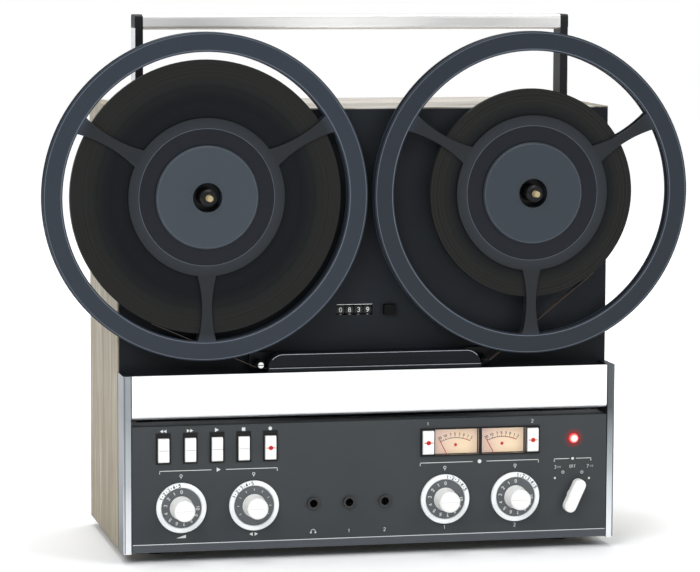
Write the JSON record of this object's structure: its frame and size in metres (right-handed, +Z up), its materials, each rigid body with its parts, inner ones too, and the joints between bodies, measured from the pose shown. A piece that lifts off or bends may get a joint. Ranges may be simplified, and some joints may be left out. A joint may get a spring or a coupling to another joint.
{
  "type": "reel-to-reel tape recorder",
  "caption": "Upright reel-to-reel tape recorder with wooden case, large open reels, head cover, tape counter, hinged flap, level meters, keys, ring-and-knob controls and a sliding handle.",
  "frame": {"origin": "centre of the box's footprint, on the surface that the feet stand on", "axes": "+X to the right seen from the front, +Y from the control panel to the back, +Z up"},
  "size_m": [0.5392, 0.207, 0.442],
  "materials": {
    "wood": "open-grain veneer, satin",
    "back_metal": "black paint",
    "connector_metal": "grey paint with plated sockets",
    "foot_rubber": "matte",
    "chassis_metal": "bare",
    "deck_black": "fine matte black paint",
    "panel_grey": "matte dark grey paint",
    "trim_aluminium": "brushed",
    "flap_aluminium": "satin anodised",
    "handle_aluminium": "satin",
    "handle_black": "black",
    "reel_metal": "dark anodised",
    "tape": "wound tape edges",
    "hub_grey": "satin grey",
    "spindle_black": "black",
    "cover_black": "moulded black",
    "head_metal": "ground",
    "roller_rubber": "matte",
    "motor_metal": "bare",
    "circuit_board": "laminate",
    "jack_black": "black",
    "meter_black": "black",
    "meter_glass": "clear",
    "needle_red": "red",
    "lamp_red": "lit red lens",
    "key_white": "moulded white",
    "socket_black": "black",
    "knob_white": "moulded white",
    "counter_black": "black"
  },
  "bodies": {
    "cabinet": {"wooden_case": "wood", "rear_cover": "back_metal", "rear_connectors": "connector_metal", "feet": "foot_rubber", "chassis": "chassis_metal", "deck_plate": "deck_black", "control_panel": "panel_grey", "side_trims": "trim_aluminium", "head_cover": "cover_black", "head_block": "head_metal", "tape_heads": "head_metal", "tape_run": "tape", "motors": "motor_metal", "power_transformer": "motor_metal", "circuit_boards": "circuit_board", "jack_sockets": "jack_black", "meter_housing": "meter_black", "meter_windows": "meter_glass", "pilot_lamp": "lamp_red", "key_sockets": "socket_black", "counter_frame": "counter_black", "counter_belt": "roller_rubber"},
    "left_reel": {"left_spool": "reel_metal", "left_tape_pack": "tape", "left_hub_adapter": "hub_grey", "left_spindle": "spindle_black"},
    "right_reel": {"right_spool": "reel_metal", "right_tape_pack": "tape", "right_hub_adapter": "hub_grey", "right_spindle": "spindle_black"},
    "flap": {"front_flap": "flap_aluminium"},
    "handle": {"handle_bar": "handle_aluminium", "handle_arms": "handle_black"},
    "rewind_key": {"rewind_key": "key_white"},
    "forward_key": {"forward_key": "key_white"},
    "play_key": {"play_key": "key_white"},
    "stop_key": {"stop_key": "key_white"},
    "record_key": {"record_key": "key_white"},
    "left_record_select": {"left_record_select": "key_white"},
    "right_record_select": {"right_record_select": "key_white"},
    "volume_ring": {"volume_ring": "knob_white"},
    "balance_ring": {"balance_ring": "knob_white"},
    "left_level_ring": {"left_level_ring": "knob_white"},
    "right_level_ring": {"right_level_ring": "knob_white"},
    "volume_knob": {"volume_knob": "knob_white"},
    "balance_knob": {"balance_knob": "knob_white"},
    "left_level_knob": {"left_level_knob": "knob_white"},
    "right_level_knob": {"right_level_knob": "knob_white"},
    "power_lever": {"power_lever": "knob_white"},
    "left_needle": {"left_needle": "needle_red"},
    "right_needle": {"right_needle": "needle_red"},
    "counter_wheel_1": {"counter_wheel_1": "counter_black"},
    "counter_wheel_2": {"counter_wheel_2": "counter_black"},
    "counter_wheel_3": {"counter_wheel_3": "counter_black"},
    "counter_wheel_4": {"counter_wheel_4": "counter_black"},
    "counter_reset_button": {"counter_reset_button": "counter_black"},
    "counter_pulley": {"counter_pulley": "counter_black"},
    "capstan": {"capstan": "head_metal"},
    "pinch_arm": {"pinch_arm": "head_metal"},
    "pinch_roller": {"pinch_roller": "roller_rubber"}
  },
  "joints": [
    {"name": "left_reel_spin", "type": "hinge", "parent": "cabinet", "child": "left_reel", "pos_m": [-0.13625, -0.06785, 0.2966], "axis": [0, 1, 0], "continuous": true},
    {"name": "right_reel_spin", "type": "hinge", "parent": "cabinet", "child": "right_reel", "pos_m": [0.13625, -0.06785, 0.2966], "axis": [0, 1, 0], "continuous": true},
    {"name": "counter_pulley_spin", "type": "hinge", "parent": "cabinet", "child": "counter_pulley", "pos_m": [0.01975, -0.0465, 0.2245], "axis": [0, 1, 0], "continuous": true},
    {"name": "counter_wheel_1_spin", "type": "hinge", "parent": "cabinet", "child": "counter_wheel_1", "pos_m": [-0.02119, -0.045, 0.2005], "axis": [1, 0, 0], "continuous": true},
    {"name": "counter_wheel_2_spin", "type": "hinge", "parent": "cabinet", "child": "counter_wheel_2", "pos_m": [-0.01357, -0.045, 0.2005], "axis": [1, 0, 0], "continuous": true},
    {"name": "counter_wheel_3_spin", "type": "hinge", "parent": "cabinet", "child": "counter_wheel_3", "pos_m": [-0.00594, -0.045, 0.2005], "axis": [1, 0, 0], "continuous": true},
    {"name": "counter_wheel_4_spin", "type": "hinge", "parent": "cabinet", "child": "counter_wheel_4", "pos_m": [0.00169, -0.045, 0.2005], "axis": [1, 0, 0], "continuous": true},
    {"name": "capstan_spin", "type": "hinge", "parent": "cabinet", "child": "capstan", "pos_m": [0.062, -0.06, 0.1597], "axis": [0, 1, 0], "continuous": true},
    {"name": "pinch_arm_swing", "type": "hinge", "parent": "cabinet", "child": "pinch_arm", "pos_m": [0.024, -0.06, 0.13375], "axis": [0, 1, 0], "range_deg": [-15, 0]},
    {"name": "pinch_roller_spin", "type": "hinge", "parent": "pinch_arm", "child": "pinch_roller", "pos_m": [0.06292, -0.06785, 0.13217], "axis": [0, 1, 0], "continuous": true},
    {"name": "flap_hinge", "type": "hinge", "parent": "cabinet", "child": "flap", "pos_m": [0, -0.0785, 0.1223], "axis": [1, 0, 0], "range_deg": [0, 95]},
    {"name": "handle_slide", "type": "slide", "parent": "cabinet", "child": "handle", "axis": [0, 0, 1], "range_m": [-0.06, 0]},
    {"name": "rewind_key_press", "type": "slide", "parent": "cabinet", "child": "rewind_key", "axis": [0, 1, 0], "range_m": [0, 0.003], "stiffness_N_per_m": 300},
    {"name": "forward_key_press", "type": "slide", "parent": "cabinet", "child": "forward_key", "axis": [0, 1, 0], "range_m": [0, 0.003], "stiffness_N_per_m": 300},
    {"name": "play_key_press", "type": "slide", "parent": "cabinet", "child": "play_key", "axis": [0, 1, 0], "range_m": [0, 0.003], "stiffness_N_per_m": 300},
    {"name": "stop_key_press", "type": "slide", "parent": "cabinet", "child": "stop_key", "axis": [0, 1, 0], "range_m": [0, 0.003], "stiffness_N_per_m": 300},
    {"name": "record_key_press", "type": "slide", "parent": "cabinet", "child": "record_key", "axis": [0, 1, 0], "range_m": [0, 0.003], "stiffness_N_per_m": 300},
    {"name": "left_record_select_press", "type": "slide", "parent": "cabinet", "child": "left_record_select", "axis": [0, 1, 0], "range_m": [0, 0.003], "stiffness_N_per_m": 300},
    {"name": "right_record_select_press", "type": "slide", "parent": "cabinet", "child": "right_record_select", "axis": [0, 1, 0], "range_m": [0, 0.003], "stiffness_N_per_m": 300},
    {"name": "counter_reset_press", "type": "slide", "parent": "cabinet", "child": "counter_reset_button", "axis": [0, 1, 0], "range_m": [0, 0.002], "stiffness_N_per_m": 300},
    {"name": "volume_ring_turn", "type": "hinge", "parent": "cabinet", "child": "volume_ring", "pos_m": [-0.1595, -0.085, 0.0453], "axis": [0, 1, 0], "range_deg": [0, 90]},
    {"name": "volume_knob_turn", "type": "hinge", "parent": "cabinet", "child": "volume_knob", "pos_m": [-0.1595, -0.095, 0.0453], "axis": [0, 1, 0], "range_deg": [0, 270]},
    {"name": "balance_ring_turn", "type": "hinge", "parent": "cabinet", "child": "balance_ring", "pos_m": [-0.0995, -0.085, 0.0453], "axis": [0, 1, 0], "range_deg": [0, 60]},
    {"name": "balance_knob_turn", "type": "hinge", "parent": "cabinet", "child": "balance_knob", "pos_m": [-0.0995, -0.095, 0.0453], "axis": [0, 1, 0], "range_deg": [-135, 135]},
    {"name": "left_level_ring_turn", "type": "hinge", "parent": "cabinet", "child": "left_level_ring", "pos_m": [0.06095, -0.085, 0.0453], "axis": [0, 1, 0], "range_deg": [-120, 0]},
    {"name": "left_level_knob_turn", "type": "hinge", "parent": "cabinet", "child": "left_level_knob", "pos_m": [0.06095, -0.095, 0.0453], "axis": [0, 1, 0], "range_deg": [0, 270]},
    {"name": "right_level_ring_turn", "type": "hinge", "parent": "cabinet", "child": "right_level_ring", "pos_m": [0.12095, -0.085, 0.0453], "axis": [0, 1, 0], "range_deg": [-120, 0]},
    {"name": "right_level_knob_turn", "type": "hinge", "parent": "cabinet", "child": "right_level_knob", "pos_m": [0.12095, -0.095, 0.0453], "axis": [0, 1, 0], "range_deg": [0, 270]},
    {"name": "power_lever_turn", "type": "hinge", "parent": "cabinet", "child": "power_lever", "pos_m": [0.1707, -0.09, 0.0453], "axis": [0, 1, 0], "range_deg": [-73.5, 24.5]},
    {"name": "left_needle_swing", "type": "hinge", "parent": "cabinet", "child": "left_needle", "pos_m": [0.0709, -0.08, 0.0676], "axis": [0, 1, 0], "range_deg": [0, 56], "stiffness_Nm_per_rad": 0.0005},
    {"name": "right_needle_swing", "type": "hinge", "parent": "cabinet", "child": "right_needle", "pos_m": [0.1108, -0.08, 0.0676], "axis": [0, 1, 0], "range_deg": [0, 56], "stiffness_Nm_per_rad": 0.0005}
  ],
  "couplings": [
    {"joint": "counter_pulley_spin", "follows": "right_reel_spin", "ratio": 1.2222},
    {"joint": "counter_wheel_1_spin", "follows": "right_reel_spin", "ratio": 0.00005},
    {"joint": "counter_wheel_2_spin", "follows": "right_reel_spin", "ratio": 0.0005},
    {"joint": "counter_wheel_3_spin", "follows": "right_reel_spin", "ratio": 0.005},
    {"joint": "counter_wheel_4_spin", "follows": "right_reel_spin", "ratio": 0.05}
  ]
}
